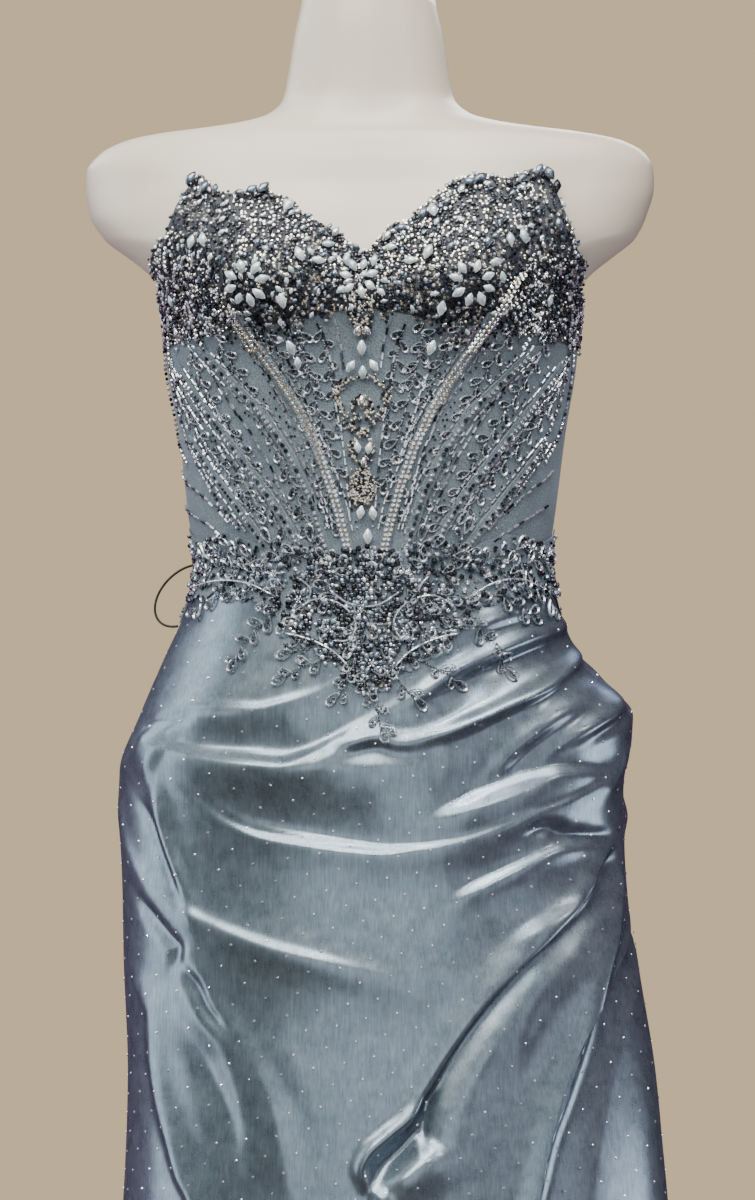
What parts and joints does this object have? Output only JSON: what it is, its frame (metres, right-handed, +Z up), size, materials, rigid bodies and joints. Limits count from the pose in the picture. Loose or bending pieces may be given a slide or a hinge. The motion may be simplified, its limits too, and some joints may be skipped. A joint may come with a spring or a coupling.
{
  "type": "strapless prom dress on limbless torso dress form",
  "caption": "Floor-length strapless gown with boned mesh bodice, beaded cups and draped satin skirt, standing on a headless armless torso form with pole and round base.",
  "frame": {"origin": "centre of the underside of the round base, on the floor", "axes": "+Z up the figure, -Y out of the front of the gown, +X to the viewer's right"},
  "size_m": [0.5322, 0.5587, 1.467],
  "materials": {
    "satin": "two-tone stretch satin, slate blue over aubergine",
    "bodice_mesh": "matte power mesh",
    "beadwork": "gunmetal, silver and opal beads",
    "form_plastic": "satin gloss, moulded",
    "stand_steel": "brushed",
    "loop_cord": "fine cord"
  },
  "bodies": {
    "root": {"form_torso": "form_plastic", "stand_pole": "stand_steel", "stand_base": "stand_steel", "bodice_front_center": "bodice_mesh", "bodice_side_front_left": "bodice_mesh", "bodice_side_front_right": "bodice_mesh", "bodice_side_left": "bodice_mesh", "bodice_side_right": "bodice_mesh", "bodice_back_left": "bodice_mesh", "bodice_back_right": "bodice_mesh", "casing_princess_left": "bodice_mesh", "casing_princess_right": "bodice_mesh", "casing_second_left": "bodice_mesh", "casing_second_right": "bodice_mesh", "casing_side_front_left": "bodice_mesh", "casing_side_front_right": "bodice_mesh", "casing_low_left": "bodice_mesh", "casing_low_right": "bodice_mesh", "cup_left": "beadwork", "cup_right": "beadwork", "center_front_motif": "beadwork", "waist_lace_front": "beadwork", "waist_lace_back_left": "beadwork", "waist_lace_back_right": "beadwork", "back_placket": "bodice_mesh", "hanger_loop": "loop_cord", "skirt_drape": "satin", "skirt_under": "satin", "skirt_back_left": "satin", "skirt_back_right": "satin"}
  },
  "joints": []
}
